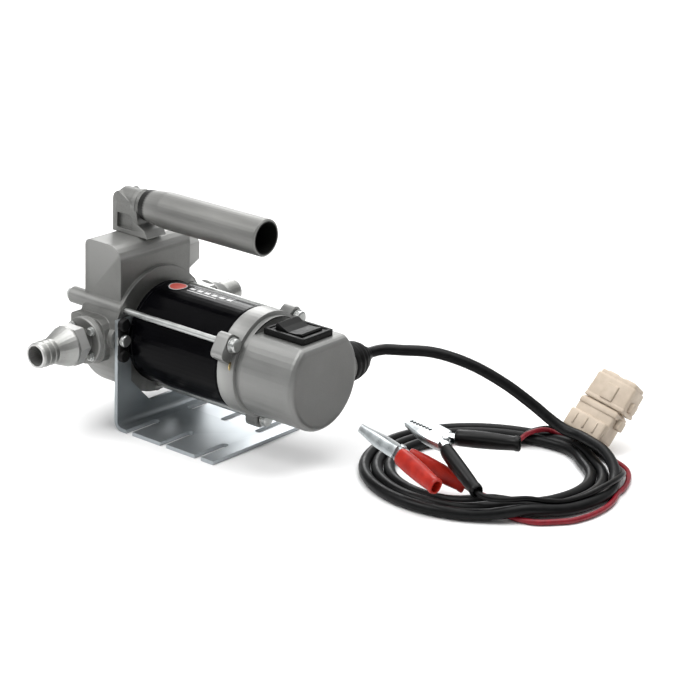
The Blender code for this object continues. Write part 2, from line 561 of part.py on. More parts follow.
# from the gland over to the coil, and the four thin wires between connector, coil and clips
MAIN_ROUTE = [
    (0.0980, 0.0687, 0.0700), (0.0980, 0.0747, 0.0700), (0.1030, 0.0835, 0.0713), (0.1130, 0.0915, 0.0712),
    (0.1340, 0.1075, 0.0680), (0.1570, 0.1240, 0.0584), (0.1790, 0.1385, 0.0450), (0.1980, 0.1490, 0.0315),
    (0.2130, 0.1555, 0.0215), (0.2250, 0.1582, 0.0176), (0.2380, 0.1575, 0.0169), (0.2520, 0.1525, 0.0169)]
WIRES = {
    "red_core": ([(0.2285, 0.1743, 0.0135), (0.2276, 0.1718, 0.0100), (0.2266, 0.1696, 0.0070)], RED),
    "black_core": ([(0.2344, 0.1740, 0.0125), (0.2337, 0.1714, 0.0089), (0.2329, 0.1687, 0.0062)], PLASTIC),
    "black_lead": ([(0.2422, 0.1736, 0.0110), (0.2415, 0.1708, 0.0072), (0.2409, 0.1672, 0.0046)], PLASTIC),
    "red_lead": ([(0.2472, 0.1733, 0.0102), (0.2464, 0.1707, 0.0062), (0.2484, 0.1684, 0.0035), (0.2540, 0.1668, 0.0027),
                  (0.2680, 0.1635, 0.0025), (0.2830, 0.1555, 0.0025), (0.2935, 0.1415, 0.0025), (0.3005, 0.1240, 0.0025),
                  (0.3025, 0.1130, 0.0025)], RED),
    "red_clip_lead": ([(0.2252, 0.0290, 0.0109), (0.2300, 0.0318, 0.0078), (0.2360, 0.0340, 0.0062),
                       (0.2425, 0.0330, 0.0060), (0.2480, 0.0300, 0.0060)], RED),
    "black_clip_lead": ([(0.2521, 0.0056, 0.0212), (0.2557, 0.0060, 0.0192), (0.2609, 0.0095, 0.0168),
                         (0.2665, 0.0163, 0.0150), (0.2721, 0.0245, 0.0145), (0.2767, 0.0332, 0.0145)], PLASTIC),
}


def build_cords():
    cord("main_cable", MAIN_ROUTE, CABLE_D, RUBBER, 4)
    for name, (route, look) in WIRES.items():
        cord(name, route, LEAD_D, look, 2)


def build_coil():
    """An oval ring: the outer shape of the turns of cable that lie on the ground."""
    (inner_a, inner_b), (outer_a, outer_b) = COIL_INNER, COIL_OUTER
    bm = bmesh.new()
    sides = 56
    loops = []
    for half_a, half_b, z in ((inner_a, inner_b, COIL_Z0), (outer_a, outer_b, COIL_Z0),
                              (outer_a, outer_b, COIL_Z1), (inner_a, inner_b, COIL_Z1)):
        angles = [math.tau * k / sides for k in range(sides)]
        loops.append([bm.verts.new((half_a * math.cos(t), half_b * math.sin(t), z)) for t in angles])
    for number, loop in enumerate(loops):
        follow = loops[(number + 1) % 4]
        for k in range(sides):
            m = (k + 1) % sides
            bm.faces.new((loop[k], loop[m], follow[m], follow[k]))
    coil = finish_mesh("cable_coil", bm, RUBBER, (*COIL_CENTRE, 0))
    coil.rotation_euler = (0, 0, COIL_TURN)


# ---------------------------------------------------------------- battery clips
def clip_frame(pivot, along, roll):
    """Columns: along the clip from jaw to handle, the opening direction, and the pin's axis."""
    axis = Vector(along).normalized()
    side = Vector((0, 0, 1)).cross(axis).normalized()
    side = Matrix.Rotation(math.radians(roll), 3, axis) @ side
    frame = Matrix((axis, side, axis.cross(side))).transposed().to_4x4()
    frame.translation = Vector(pivot)
    return frame


CLIP_SPREAD = math.radians(25)     # each arm leans this far from the clip's own line
JAW_LENGTH, GRIP_START, GRIP_END = 0.036, 0.0073, 0.053
CLIPS = {
    "red": (clip_frame((0.1848, 0.0014, 0.0335), (0.952, 0.073, -0.299), -19.7), RED),
    "black": (clip_frame((0.2068, 0.0278, 0.0411), (0.986, 0.027, -0.162), 28.1), PLASTIC),
}


def arm_point(along, out):
    """A place given along and out from a clip's far arm, in the clip's own frame."""
    return (along * math.cos(CLIP_SPREAD) - out * math.sin(CLIP_SPREAD),
            along * math.sin(CLIP_SPREAD) + out * math.cos(CLIP_SPREAD))


def build_clips():
    end = GRIP_START - 0.0003
    jaw = [(-JAW_LENGTH, 0.0004), (-0.0005, 0.0004), arm_point(end, 0.0006), arm_point(end, 0.0062),
           (-0.0010, 0.0074), (-0.0080, 0.0086), (-0.0260, 0.0078), (-JAW_LENGTH, 0.0035)]
    sleeve = [arm_point(*place) for place in (
        (GRIP_START, 0.0004), (GRIP_END - 0.0010, 0.0004), (GRIP_END, 0.0014), (GRIP_END, 0.0058),
        (GRIP_END - 0.0014, 0.0068), (0.0330, 0.0078), (0.0120, 0.0076), (GRIP_START, 0.0066))]
    for colour, (frame, look) in CLIPS.items():
        for word, side in (("near", -1), ("far", 1)):
            half = 0.0050
            arm = extruded(f"{colour}_clip_{word}_jaw", [(u, side * v) for u, v in jaw], "XY", -half, 2 * half, STEEL)
            half = 0.0060
            grip = extruded(f"{colour}_clip_{word}_sleeve", [(u, side * v) for u, v in sleeve], "XY", -half,
                            2 * half, look)
            arm.matrix_world = frame
            grip.matrix_world = frame


def main():
    clear_scene()
    build_bracket()
    build_bracket_bolts()
    build_housing()
    build_rear_cover()
    build_port_fitting("inlet", "-Y", -1)
    build_port_fitting("outlet", "Y", 1)
    build_valve()
    build_rotor()
    build_handle()
    build_motor_static()
    build_motor_turning()
    build_end_ring()
    build_end_cap()
    build_rods()
    build_switch()
    build_gland()
    build_connector()
    build_coil()
    build_cords()
    build_clips()


main()
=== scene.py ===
"""Looks of the fluid transfer pump: camera, light, cables, clips, connector, trim and every material.

Metres, in the CAD model's frame: +X along the shaft towards the switch cap, +Z up, the foot on z = 0.
"""
import math

import bmesh
import bpy
from mathutils import Matrix, Vector


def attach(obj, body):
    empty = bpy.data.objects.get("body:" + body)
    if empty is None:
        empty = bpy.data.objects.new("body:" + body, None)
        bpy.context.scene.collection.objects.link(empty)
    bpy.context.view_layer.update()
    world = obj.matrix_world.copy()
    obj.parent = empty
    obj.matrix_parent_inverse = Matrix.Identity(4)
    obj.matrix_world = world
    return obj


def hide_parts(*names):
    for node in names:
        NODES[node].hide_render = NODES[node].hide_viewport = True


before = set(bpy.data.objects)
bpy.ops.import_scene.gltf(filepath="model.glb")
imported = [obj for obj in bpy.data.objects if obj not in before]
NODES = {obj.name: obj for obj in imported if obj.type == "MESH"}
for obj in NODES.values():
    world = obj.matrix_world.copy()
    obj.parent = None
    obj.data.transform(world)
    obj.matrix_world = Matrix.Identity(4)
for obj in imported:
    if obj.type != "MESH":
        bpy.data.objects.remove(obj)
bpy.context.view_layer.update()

# ---------------------------------------------------------------- places shared with the CAD model
AXIS_Z = 0.070
MOTOR_R = 0.040
CABLE_D, LEAD_D = 0.0088, 0.0042
COIL_CENTRE, COIL_TURN = Vector((0.2115, 0.0773, 0.0)), math.radians(38.2)
COIL_MID = (0.0835, 0.0755)            # half axes of the middle strand of the coil
STRAND = 0.0094                        # distance between neighbouring strands
GROUND = 0.0046                        # height of a strand's centre on the ground
GROOVE = 0.0093                        # height of a thin lead lying between two strands
COIL_END = -962                        # where the sheath ends, in degrees round the coil
CLIP_SPREAD = math.radians(25)
JAW_LENGTH = 0.036
PORT_X, GLAND_X, SWITCH_X = -0.075, 0.098, 0.087
ROD_CIRCLE = 0.045                     # radius of the circle that the tie rods stand on
BOLT_Y = 0.0452                        # the bracket's bolts, either side of the shaft
SWITCH_Z = AXIS_Z + 0.0303 + 0.0039    # top of the switch body on the cap's flat

MAIN_ROUTE = [
    (0.0980, 0.0687, 0.0700), (0.0980, 0.0747, 0.0700), (0.1030, 0.0835, 0.0713), (0.1130, 0.0915, 0.0712),
    (0.1340, 0.1075, 0.0704), (0.1570, 0.1240, 0.0622), (0.1790, 0.1385, 0.0488), (0.1980, 0.1490, 0.0346),
    (0.2130, 0.1555, 0.0232), (0.2250, 0.1582, 0.0176), (0.2380, 0.1575, 0.0169), (0.2520, 0.1525, 0.0169)]
RED_CORE = [(0.2285, 0.1743, 0.0135), (0.2276, 0.1718, 0.0100), (0.2266, 0.1696, 0.0070)]
BLACK_CORE = [(0.2344, 0.1740, 0.0125), (0.2337, 0.1714, 0.0089), (0.2329, 0.1687, 0.0062)]
BLACK_LEAD = [(0.2422, 0.1736, 0.0110), (0.2415, 0.1708, 0.0072), (0.2409, 0.1672, 0.0046)]
RED_LEAD = [
    (0.2472, 0.1733, 0.0102), (0.2464, 0.1707, 0.0062), (0.2484, 0.1684, 0.0035), (0.2540, 0.1668, 0.0027),
    (0.2680, 0.1635, 0.0025), (0.2830, 0.1555, 0.0025), (0.2935, 0.1415, 0.0025), (0.3005, 0.1240, 0.0025),
    (0.3025, 0.1130, 0.0025)]
RED_CLIP_LEAD = [(0.2252, 0.0290, 0.0109), (0.2300, 0.0318, 0.0078), (0.2360, 0.0340, 0.0062),
                 (0.2425, 0.0330, 0.0060), (0.2480, 0.0300, 0.0060)]
BLACK_CLIP_LEAD = [(0.2521, 0.0056, 0.0212), (0.2557, 0.0060, 0.0198), (0.2609, 0.0095, 0.0182),
                   (0.2665, 0.0163, 0.0170), (0.2721, 0.0245, 0.0165), (0.2767, 0.0332, 0.0155)]


# ---------------------------------------------------------------- camera, light and floor
def build_camera():
    """The camera, by its direction from the pump, its tilt and its place."""
    azimuth, elevation, roll = math.radians(38.2), math.radians(19.8), math.radians(2.32)
    back = Vector((math.sin(azimuth) * math.cos(elevation), -math.cos(azimuth) * math.cos(elevation),
                   math.sin(elevation)))
    right = Vector((math.cos(azimuth), math.sin(azimuth), 0))
    up = back.cross(right)
    right2 = right * math.cos(roll) + up * math.sin(roll)
    up2 = up * math.cos(roll) - right * math.sin(roll)
    data = bpy.data.cameras.new("camera")
    data.sensor_width, data.lens = 36, 118.286
    data.clip_start, data.clip_end = 0.05, 50
    camera = bpy.data.objects.new("camera", data)
    matrix = Matrix((right2, up2, back)).transposed().to_4x4()
    matrix.translation = Vector((1.1062, -1.2327, 0.6654))
    camera.matrix_world = matrix
    bpy.context.scene.collection.objects.link(camera)
    bpy.context.scene.camera = camera


def area_light(name, place, target, size, power):
    data = bpy.data.lights.new(name, "AREA")
    data.shape = "RECTANGLE"
    data.size, data.size_y = size
    data.energy = power
    light = bpy.data.objects.new(name, data)
    light.location = place
    light.rotation_euler = (Vector(target) - Vector(place)).to_track_quat("-Z", "Y").to_euler()
    bpy.context.scene.collection.objects.link(light)


def build_stage():
    """A bright studio that darkens towards +X, three soft lights, and a plain pale floor."""
    scene = bpy.context.scene
    scene.view_settings.view_transform = "Standard"
    world = bpy.data.worlds.new("studio")
    scene.world = world
    world.use_nodes = True
    nodes, links = world.node_tree.nodes, world.node_tree.links
    background = nodes["Background"]
    coords = nodes.new("ShaderNodeTexCoord")
    split = nodes.new("ShaderNodeSeparateXYZ")
    ramp = nodes.new("ShaderNodeValToRGB")
    ramp.color_ramp.elements[0].position, ramp.color_ramp.elements[0].color = 0.0, (0.30, 0.31, 0.32, 1)
    ramp.color_ramp.elements[1].position, ramp.color_ramp.elements[1].color = 0.75, (1.0, 1.0, 1.0, 1)
    links.new(coords.outputs["Generated"], split.inputs[0])
    links.new(split.outputs["Z"], ramp.inputs["Fac"])
    shade = nodes.new("ShaderNodeValToRGB")
    shade.color_ramp.elements[0].position, shade.color_ramp.elements[0].color = 0.1, (1, 1, 1, 1)
    shade.color_ramp.elements[1].position, shade.color_ramp.elements[1].color = 0.8, (0.42, 0.42, 0.42, 1)
    links.new(split.outputs["X"], shade.inputs["Fac"])
    product = nodes.new("ShaderNodeMix")
    product.data_type, product.blend_type = "RGBA", "MULTIPLY"
    product.inputs["Factor"].default_value = 1.0
    links.new(ramp.outputs["Color"], product.inputs[6])
    links.new(shade.outputs["Color"], product.inputs[7])
    links.new(product.outputs[2], background.inputs["Color"])
    background.inputs["Strength"].default_value = 1.0
    area_light("key", (-0.5, -1.1, 1.7), (0.05, 0.0, 0.05), (0.9, 0.9), 20)
    area_light("top", (0.2, 0.3, 1.6), (0.1, 0.05, 0.0), (1.6, 1.2), 20)
    area_light("rim", (-1.0, 1.2, 1.0), (0.0, 0.0, 0.1), (0.5, 1.2), 10)

    bm = bmesh.new()
    bmesh.ops.create_grid(bm, x_segments=1, y_segments=1, size=8.0)
    mesh = bpy.data.meshes.new("floor")
    bm.to_mesh(mesh)
    bm.free()
    floor = bpy.data.objects.new("floor", mesh)
    floor.location = (0, 0, -0.0002)
    scene.collection.objects.link(floor)
    mat = bpy.data.materials.new("floor")
    mat.use_nodes = True
    shader = mat.node_tree.nodes["Principled BSDF"]
    shader.inputs["Base Color"].default_value = (0.90, 0.90, 0.90, 1)
    shader.inputs["Roughness"].default_value = 0.9
    mesh.materials.append(mat)


# ---------------------------------------------------------------- materials
def surface(name, dark, light, rough, metallic=0.0, blotch=60.0, grain=900.0, bump=(0.0, 0.0), edge=0.0,
            wear_and_highlight=None, coat=0.0, specks=None, streak=None, gloss=0.5,
            bore_shade=None):
    """Procedural finish. blotch and grain are noise scales per metre, bump their two heights in metres.

    edge is a rounding radius for hard edges, wear_and_highlight a lighter colour for the outer edges, part
    wear and part painted highlight, specks a colour of fine spots, streak a direction (x, y, z scale) that
    stretches the colour noise. bore_shade is painted shade: it darkens the inside of a passage, given which
    axes count, a shift onto its centreline and its radius.
    """
    mat = bpy.data.materials.new(name)
    mat.use_nodes = True
    nodes, links = mat.node_tree.nodes, mat.node_tree.links
    shader = nodes["Principled BSDF"]
    shader.inputs["Metallic"].default_value = metallic
    shader.inputs["Coat Weight"].default_value = coat
    shader.inputs["Coat Roughness"].default_value = 0.08
    shader.inputs["Specular IOR Level"].default_value = gloss

    coords = nodes.new("ShaderNodeTexCoord")
    place = nodes.new("ShaderNodeMapping")
    place.inputs["Scale"].default_value = streak or (1, 1, 1)
    links.new(coords.outputs["Object"], place.inputs["Vector"])

    coarse = nodes.new("ShaderNodeTexNoise")
    coarse.inputs["Scale"].default_value = blotch
    coarse.inputs["Detail"].default_value = 5
    links.new(place.outputs["Vector"], coarse.inputs["Vector"])
    fine = nodes.new("ShaderNodeTexNoise")
    fine.inputs["Scale"].default_value = grain
    fine.inputs["Detail"].default_value = 2
    links.new(coords.outputs["Object"], fine.inputs["Vector"])

    colour = nodes.new("ShaderNodeValToRGB")
    colour.color_ramp.elements[0].position, colour.color_ramp.elements[0].color = 0.32, (*dark, 1)
    colour.color_ramp.elements[1].position, colour.color_ramp.elements[1].color = 0.68, (*light, 1)
    links.new(coarse.outputs["Fac"], colour.inputs["Fac"])
    out = colour.outputs["Color"]

    if specks:
        spots = nodes.new("ShaderNodeValToRGB")
        spots.color_ramp.elements[0].position, spots.color_ramp.elements[0].color = 0.60, (0, 0, 0, 1)
        spots.color_ramp.elements[1].position, spots.color_ramp.elements[1].color = 0.70, (0.7, 0.7, 0.7, 1)
        links.new(fine.outputs["Fac"], spots.inputs["Fac"])
        mix = nodes.new("ShaderNodeMix")
        mix.data_type = "RGBA"
        links.new(spots.outputs["Color"], mix.inputs["Factor"])
        links.new(out, mix.inputs[6])
        mix.inputs[7].default_value = (*specks, 1)
        out = mix.outputs[2]
    if wear_and_highlight:
        # Lighter outer edges: part wear, part painted highlight where light would catch them.
        geometry = nodes.new("ShaderNodeNewGeometry")
        rim = nodes.new("ShaderNodeValToRGB")
        rim.color_ramp.elements[0].position, rim.color_ramp.elements[0].color = 0.53, (0, 0, 0, 1)
        rim.color_ramp.elements[1].position, rim.color_ramp.elements[1].color = 0.62, (0.8, 0.8, 0.8, 1)
        links.new(geometry.outputs["Pointiness"], rim.inputs["Fac"])
        mix = nodes.new("ShaderNodeMix")
        mix.data_type = "RGBA"
        links.new(rim.outputs["Color"], mix.inputs["Factor"])
        links.new(out, mix.inputs[6])
        mix.inputs[7].default_value = (*wear_and_highlight, 1)
        out = mix.outputs[2]
    # Painted shade: inside the passage's radius the colour is mixed to near black.
    if bore_shade:
        shift = nodes.new("ShaderNodeMapping")
        shift.inputs["Scale"].default_value, shift.inputs["Location"].default_value = bore_shade[0], bore_shade[1]
        links.new(coords.outputs["Object"], shift.inputs["Vector"])
        away = nodes.new("ShaderNodeVectorMath")
        away.operation = "LENGTH"
        links.new(shift.outputs["Vector"], away.inputs[0])
        depth = nodes.new("ShaderNodeMapRange")
        depth.inputs["From Min"].default_value = bore_shade[2]
        depth.inputs["From Max"].default_value = bore_shade[2] + 0.0003
        links.new(away.outputs["Value"], depth.inputs["Value"])
        mix = nodes.new("ShaderNodeMix")
        mix.data_type = "RGBA"
        links.new(depth.outputs["Result"], mix.inputs["Factor"])
        mix.inputs[6].default_value = (0.018, 0.018, 0.017, 1)
        links.new(out, mix.inputs[7])
        out = mix.outputs[2]
    links.new(out, shader.inputs["Base Color"])

    span = nodes.new("ShaderNodeMapRange")
    span.inputs["From Min"].default_value, span.inputs["From Max"].default_value = 0.3, 0.7
    span.inputs["To Min"].default_value, span.inputs["To Max"].default_value = rough
    links.new(coarse.outputs["Fac"], span.inputs["Value"])
    links.new(span.outputs["Result"], shader.inputs["Roughness"])

    low = nodes.new("ShaderNodeBump")
    low.inputs["Distance"].default_value = bump[0]
    low.inputs["Strength"].default_value = 1.0 if bump[0] else 0.0
    links.new(coarse.outputs["Fac"], low.inputs["Height"])
    high = nodes.new("ShaderNodeBump")
    high.inputs["Distance"].default_value = bump[1]
    high.inputs["Strength"].default_value = 1.0 if bump[1] else 0.0
    links.new(fine.outputs["Fac"], high.inputs["Height"])
    links.new(low.outputs["Normal"], high.inputs["Normal"])
    if edge:
        rounding = nodes.new("ShaderNodeBevel")
        rounding.samples = 6
        rounding.inputs["Radius"].default_value = edge
        links.new(rounding.outputs["Normal"], low.inputs["Normal"])
    links.new(high.outputs["Normal"], shader.inputs["Normal"])
    return mat


# Painted shade: cast_grey and fitting_grey darken the port bore, handle_grey the handle bore.
# The lighter outer edges in these finishes are part wear and part painted highlight.
CAST = surface("cast_grey", (0.150, 0.151, 0.144), (0.195, 0.196, 0.188), (0.44, 0.56), 0.72, 45, 1300,
               (0.00030, 0.00005), 0.0011, wear_and_highlight=(0.36, 0.36, 0.35), specks=(0.12, 0.12, 0.115),
               bore_shade=((1, 0, 1), (0.075, 0, -AXIS_Z), 0.0076))
FITTING = surface("fitting_grey", (0.26, 0.262, 0.25), (0.34, 0.342, 0.33), (0.34, 0.46), 0.80, 90, 1500,
                  (0.00015, 0.00003), 0.0006, wear_and_highlight=(0.55, 0.55, 0.54), specks=(0.22, 0.22, 0.21),
                  bore_shade=((1, 0, 1), (0.075, 0, -AXIS_Z), 0.0076))
CAST_CAP = surface("cast_cap", (0.158, 0.160, 0.155), (0.192, 0.194, 0.188), (0.42, 0.52), 0.66, 30, 1700,
                   (0.00008, 0.00003), 0.0008, wear_and_highlight=(0.38, 0.38, 0.37), specks=(0.14, 0.14, 0.135))
CAST_TUBE = surface("handle_grey", (0.075, 0.075, 0.070), (0.150, 0.150, 0.142), (0.40, 0.56), 0.72, 70, 1100,
                    (0.00030, 0.00005), 0.0006, wear_and_highlight=(0.34, 0.34, 0.33), streak=(0.25, 1, 1),
                    bore_shade=((0, 1, 1), (0, 0, -0.167), 0.0126))
ZINC_PLATE = surface("zinc_sheet", (0.165, 0.188, 0.200), (0.235, 0.260, 0.273), (0.38, 0.48), 0.85, 40, 1500,
                     (0.00008, 0.00002), 0.0006, wear_and_highlight=(0.46, 0.49, 0.51), streak=(1, 0.3, 1))
ZINC = surface("zinc_bright", (0.40, 0.41, 0.40), (0.52, 0.53, 0.52), (0.28, 0.40), 0.92, 150, 2200,
               (0.00003, 0.00001), 0.0004)
CLIP_STEEL = surface("clip_steel", (0.34, 0.37, 0.38), (0.50, 0.53, 0.54), (0.26, 0.40), 0.95, 180, 2500,
                     (0.00006, 0.00002), 0.0004, wear_and_highlight=(0.70, 0.72, 0.72))
STEEL = surface("machined_steel", (0.38, 0.38, 0.38), (0.50, 0.50, 0.50), (0.20, 0.32), 1.0, 200, 2500,
                (0.00002, 0.00001), 0.0003)
PAINT = surface("black_gloss", (0.0006, 0.0006, 0.0010), (0.0012, 0.0012, 0.0018), (0.16, 0.24), 0.0,
                90, 800, (0.00003, 0.00002), 0.0005, gloss=0.05)
RUBBER = surface("black_rubber", (0.0012, 0.0012, 0.0012), (0.0032, 0.0032, 0.0032), (0.44, 0.58), 0.0,
                 120, 1600, (0.00006, 0.00003), 0.0005, gloss=0.18)
SHEATH = surface("cable_sheath", (0.0012, 0.0013, 0.0015), (0.0030, 0.0032, 0.0035), (0.32, 0.46), 0.0,
                 180, 1500, (0.00007, 0.00002), gloss=0.17)
BLACK_WIRE = surface("black_wire", (0.0012, 0.0012, 0.0012), (0.0030, 0.0030, 0.0030), (0.32, 0.42), 0.0,
                     250, 1800, (0.00004, 0.00001), gloss=0.17)
RED_WIRE = surface("red_wire", (0.15, 0.0015, 0.0080), (0.23, 0.0035, 0.0130), (0.34, 0.44), 0.0, 250, 1800,
                   (0.00004, 0.00001), coat=0.05, gloss=0.35)
PLASTIC = surface("black_plastic", (0.0016, 0.0017, 0.0016), (0.0036, 0.0038, 0.0036), (0.40, 0.52), 0.0,
                  200, 2600, (0.00003, 0.00003), 0.0006, gloss=0.18)
RED_VINYL = surface("red_vinyl", (0.26, 0.007, 0.003), (0.38, 0.016, 0.006), (0.36, 0.48), 0.0, 160, 1500,
                    (0.00008, 0.00002), gloss=0.28)
BLACK_VINYL = surface("black_vinyl", (0.0012, 0.0012, 0.0012), (0.0032, 0.0032, 0.0032), (0.32, 0.46), 0.0,
                      160, 1500, (0.00008, 0.00002), gloss=0.20)
NYLON = surface("nylon", (0.43, 0.355, 0.275), (0.53, 0.445, 0.355), (0.42, 0.54), 0.0, 110, 1400,
                (0.00006, 0.00002), 0.0007, gloss=0.35)
BRASS = surface("brass", (0.50, 0.36, 0.14), (0.66, 0.50, 0.24), (0.22, 0.34), 1.0, 200, 2200,
                (0.00002, 0.00001))
COPPER = surface("copper", (0.48, 0.20, 0.09), (0.62, 0.30, 0.15), (0.25, 0.36), 1.0, 300, 2400,
                 (0.00008, 0.00002), streak=(3, 1, 1))
FERRITE = surface("ferrite", (0.05, 0.05, 0.055), (0.085, 0.085, 0.09), (0.6, 0.75), 0.0, 150, 2400,
                  (0.00006, 0.00004))
LAMINATE = surface("laminated_steel", (0.16, 0.16, 0.165), (0.30, 0.30, 0.31), (0.35, 0.5), 0.9, 60, 2000,
                   (0.00008, 0.00002), streak=(30, 0.2, 0.2))
CARBON = surface("carbon", (0.025, 0.025, 0.028), (0.045, 0.045, 0.05), (0.45, 0.6), 0.0, 250, 2400,
                 (0.00002, 0.00003))
PRINT_WHITE = surface("print_white", (0.36, 0.36, 0.36), (0.50, 0.50, 0.50), (0.3, 0.4), 0.0, 400, 2500,
                      (0.00001, 0.00001))
PRINT_RED = surface("print_red", (0.34, 0.030, 0.018), (0.46, 0.05, 0.03), (0.3, 0.4), 0.0, 400, 2500,
                    (0.00001, 0.00001))


def finish_of(node):
    """The finish of a CAD node that stays in view."""
    by_name = {
        "mounting_bracket": ZINC_PLATE, "motor_can": PAINT, "handle_tube": CAST_TUBE, "end_cap": CAST_CAP,
        "end_ring": CAST_CAP, "valve_poppet": BRASS, "shaft_seal": RUBBER, "armature_core": LAMINATE,
        "armature_winding": COPPER, "commutator": COPPER, "switch_body": PLASTIC, "switch_rocker": PLASTIC,
        "brush_holder": PLASTIC, "valve_spring": STEEL, "motor_shaft": STEEL, "pump_rotor": STEEL,
        "front_bearing": STEEL, "rear_bearing": STEEL,
    }
    if node in by_name:
        return by_name[node]
    if node.endswith(("union_nut", "hose_tail")):
        return FITTING
    for start, mat in (("tie_rod", ZINC), ("bracket_bolt", ZINC), ("magnet", FERRITE), ("vane", CARBON),
                       ("brush", CARBON)):
        if node.startswith(start):
            return mat
    return CAST


def dress_cad():
    for name, obj in NODES.items():
        obj.data.materials.clear()
        obj.data.materials.append(finish_of(name))


# ---------------------------------------------------------------- mesh helpers
def make_piece(name, bm, mat, body="pump", smooth=35):
    """A piece of the looks on a body, smooth-shaded where its faces meet under so many degrees."""
    bmesh.ops.recalc_face_normals(bm, faces=bm.faces)
    mesh = bpy.data.meshes.new(name)
    bm.to_mesh(mesh)
    bm.free()
    mesh.shade_smooth()
    mesh.set_sharp_from_angle(angle=math.radians(smooth))
    obj = bpy.data.objects.new(name, mesh)
    bpy.context.scene.collection.objects.link(obj)
    mesh.materials.append(mat)
    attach(obj, body)
    return obj


def axes_of(direction):
    """A turning matrix whose Z axis is the direction."""
    return Vector(direction).to_track_quat("Z", "Y").to_matrix().to_4x4()


def add_turned(bm, profile, place, direction, segments=32, turn=0.0):
    """A closed (radius, along) profile spun about a line through place."""
    matrix = Matrix.Translation(Vector(place)) @ axes_of(direction) @ Matrix.Rotation(turn, 4, "Z")
    rows = []
    for radius, along in profile:
        if radius < 1e-7:
            rows.append([bm.verts.new(matrix @ Vector((0, 0, along)))])
            continue
        rows.append([bm.verts.new(matrix @ Vector((radius * math.cos(math.tau * k / segments),
                                                   radius * math.sin(math.tau * k / segments), along)))
                     for k in range(segments)])
    pairs = list(zip(rows, rows[1:]))
    if len(rows[0]) > 1 and len(rows[-1]) > 1:
        pairs.append((rows[-1], rows[0]))
    for low, high in pairs:
        for k in range(segments):
            m = (k + 1) % segments
            corner = [low[k % len(low)], low[m % len(low)], high[m % len(high)], high[k % len(high)]]
            corner = list(dict.fromkeys(corner))
            if len(corner) > 2:
                bm.faces.new(corner)


def add_block(bm, low, high, matrix=None, bevel=0.0, segments=3):
    """A box between two corners, its edges rounded."""
    made = bmesh.ops.create_cube(bm, size=1.0)
    verts = made["verts"]
    centre = (Vector(low) + Vector(high)) / 2
    size = Vector(high) - Vector(low)
    for vert in verts:
        vert.co = Vector((vert.co.x * size.x, vert.co.y * size.y, vert.co.z * size.z)) + centre
    if bevel:
        edges = list(dict.fromkeys(edge for vert in verts for edge in vert.link_edges))
        rounded = bmesh.ops.bevel(bm, geom=edges, offset=bevel, segments=segments, profile=0.5,
                                  affect="EDGES", clamp_overlap=True)
        verts = list(dict.fromkeys(vert for face in rounded["faces"] for vert in face.verts))
        for vert in verts:                  # the list grows to all that hangs together
            verts += [other for edge in vert.link_edges for other in edge.verts if other not in verts]
    if matrix is not None:
        bmesh.ops.transform(bm, matrix=matrix, verts=verts)


def add_loft(bm, loops):
    """Joins closed loops of points, all with the same count, into a closed skin."""
    rows = [[bm.verts.new(point) for point in loop] for loop in loops]
    for low, high in zip(rows, rows[1:]):
        for k in range(len(low)):
            m = (k + 1) % len(low)
            bm.faces.new((low[k], low[m], high[m], high[k]))
    bm.faces.new(rows[0][::-1])
    bm.faces.new(rows[-1])


def add_tube(bm, points, radius, sides=10):
    """A round bar along the points."""
    points = [Vector(p) for p in points]
    loops = []
    side = None
    for n, point in enumerate(points):
        ahead = (points[min(n + 1, len(points) - 1)] - points[max(n - 1, 0)]).normalized()
        if side is None:
            side = ahead.orthogonal().normalized()
        side = (side - ahead * side.dot(ahead)).normalized()
        other = ahead.cross(side)
        turns = [math.tau * k / sides for k in range(sides)]
        loops.append([point + radius * (side * math.cos(turn) + other * math.sin(turn)) for turn in turns])
    add_loft(bm, loops)


def smooth_points(points, step):
    """A Catmull-Rom curve through the points, read off at even steps."""
    pts = [Vector(p) for p in points]
    pts = [2 * pts[0] - pts[1]] + pts + [2 * pts[-1] - pts[-2]]
    fine = []
    for i in range(1, len(pts) - 2):
        p0, p1, p2, p3 = pts[i - 1:i + 3]
        for k in range(12):
            t = k / 12
            fine.append(0.5 * (2 * p1 + (p2 - p0) * t + (2 * p0 - 5 * p1 + 4 * p2 - p3) * t * t
                               + (3 * p1 - p0 - 3 * p2 + p3) * t ** 3))
    fine.append(pts[-2])
    total = sum((b - a).length for a, b in zip(fine, fine[1:]))
    count = max(4, round(total / step))
    out, travelled, index = [fine[0]], 0.0, 0
    for n in range(1, count):
        target = total * n / count
        while travelled + (fine[index + 1] - fine[index]).length < target:
            travelled += (fine[index + 1] - fine[index]).length
            index += 1
        gap = (fine[index + 1] - fine[index]).length
        out.append(fine[index].lerp(fine[index + 1], (target - travelled) / gap))
    out.append(fine[-1])
    return out, total


# ---------------------------------------------------------------- cables
def coil_point(angle, offset, height):
    """A place by its angle round the coil in degrees, its way out from the middle strand, and its height."""
    turn = math.radians(angle)
    ripple = 0.0011 * math.sin(2 * turn + 0.8) + 0.0008 * math.sin(3 * turn + 2.0)
    flat = Vector((COIL_MID[0] * math.cos(turn), COIL_MID[1] * math.sin(turn), 0))
    out = Vector((math.cos(turn) / COIL_MID[0], math.sin(turn) / COIL_MID[1], 0)).normalized()
    flat += out * (offset + ripple)
    return COIL_CENTRE + Matrix.Rotation(COIL_TURN, 3, "Z") @ flat + Vector((0, 0, height))


def ease(value):
    """0 below 0, 1 above 1, and a soft step between."""
    value = min(1.0, max(0.0, value))
    return value * value * (3 - 2 * value)


def lap(start, end, step, rule):
    """Points round the coil from start to end degrees; rule gives (offset, height) at an angle."""
    count = max(1, round(abs(end - start) / step))
    angles = [start + (end - start) * k / count for k in range(count + 1)]
    return [coil_point(angle, *rule(angle)) for angle in angles]


